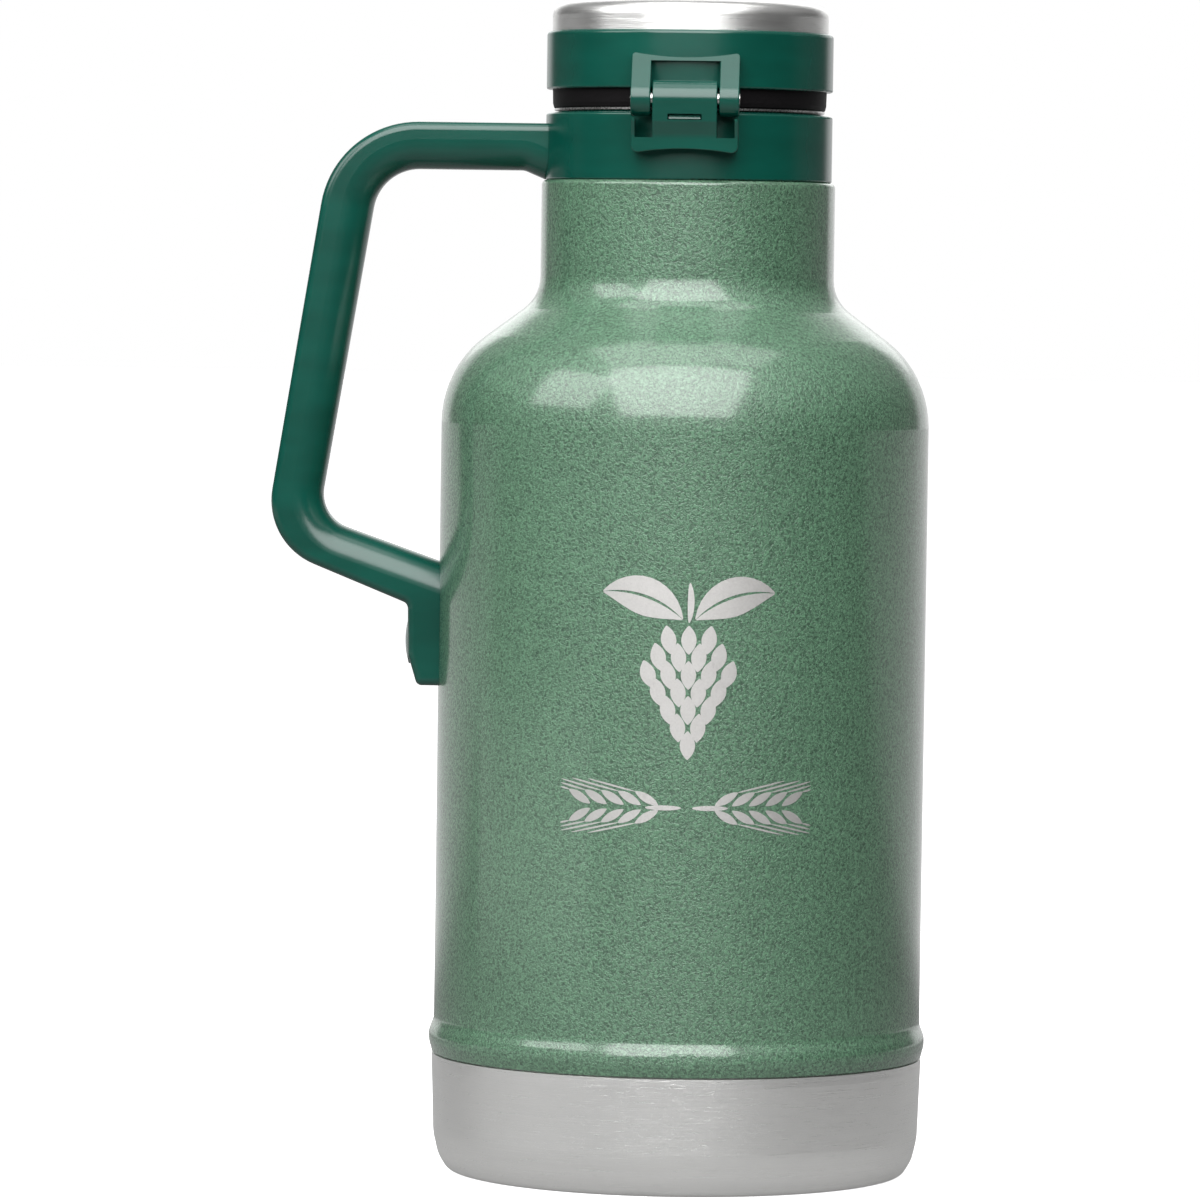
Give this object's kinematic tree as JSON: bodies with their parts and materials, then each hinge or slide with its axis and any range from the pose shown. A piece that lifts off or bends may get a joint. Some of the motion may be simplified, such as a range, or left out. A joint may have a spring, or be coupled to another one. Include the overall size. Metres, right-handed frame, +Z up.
{
  "type": "growler",
  "caption": "Double-walled steel growler with a narrow neck, side handle, bare steel base and a hinged lid held by a front snap latch.",
  "frame": {"origin": "centre of the foot ring, on the surface the bottle stands on", "axes": "+Z up along the bottle axis; the latch faces -Y, the lid hinge is at +Y, the handle is on the -X side"},
  "size_m": [0.1627, 0.1224, 0.2882],
  "materials": {
    "green_paint": "hammertone enamel, light green, semi-gloss",
    "bare_steel": "stainless steel brushed round the axis",
    "liner_steel": "stainless steel, electropolished",
    "small_steel": "stainless steel, turned",
    "solder": "dull solder",
    "green_plastic": "satin moulded plastic, dark green",
    "dark_plastic": "satin moulded plastic, black",
    "white_foam": "white insulating foam",
    "black_rubber": "matte silicone rubber, black"
  },
  "bodies": {
    "vessel": {"outer_shell": "green_paint", "base_cup": "bare_steel", "vacuum_seal": "solder", "base_cover": "bare_steel", "liner_body": "liner_steel", "liner_bottom": "liner_steel", "getter": "small_steel", "collar": "green_plastic", "handle": "green_plastic", "handle_boss": "small_steel", "handle_screw": "small_steel", "handle_screw_cap": "green_plastic", "hinge_pin": "small_steel"},
    "lid": {"lid_band": "green_plastic", "lid_cap": "bare_steel", "lid_plug": "dark_plastic", "lid_foam": "white_foam", "lid_gasket": "black_rubber", "latch_pin": "small_steel"},
    "latch": {"latch_flap": "green_plastic"}
  },
  "joints": [
    {"name": "lid_hinge", "type": "hinge", "parent": "vessel", "child": "lid", "pos_m": [0, 0.0398, 0.2637], "axis": [-1, 0, 0], "range_deg": [0, 180]},
    {"name": "latch_hinge", "type": "hinge", "parent": "lid", "child": "latch", "pos_m": [0, -0.0386, 0.2637], "axis": [-1, 0, 0], "range_deg": [0, 120]}
  ]
}
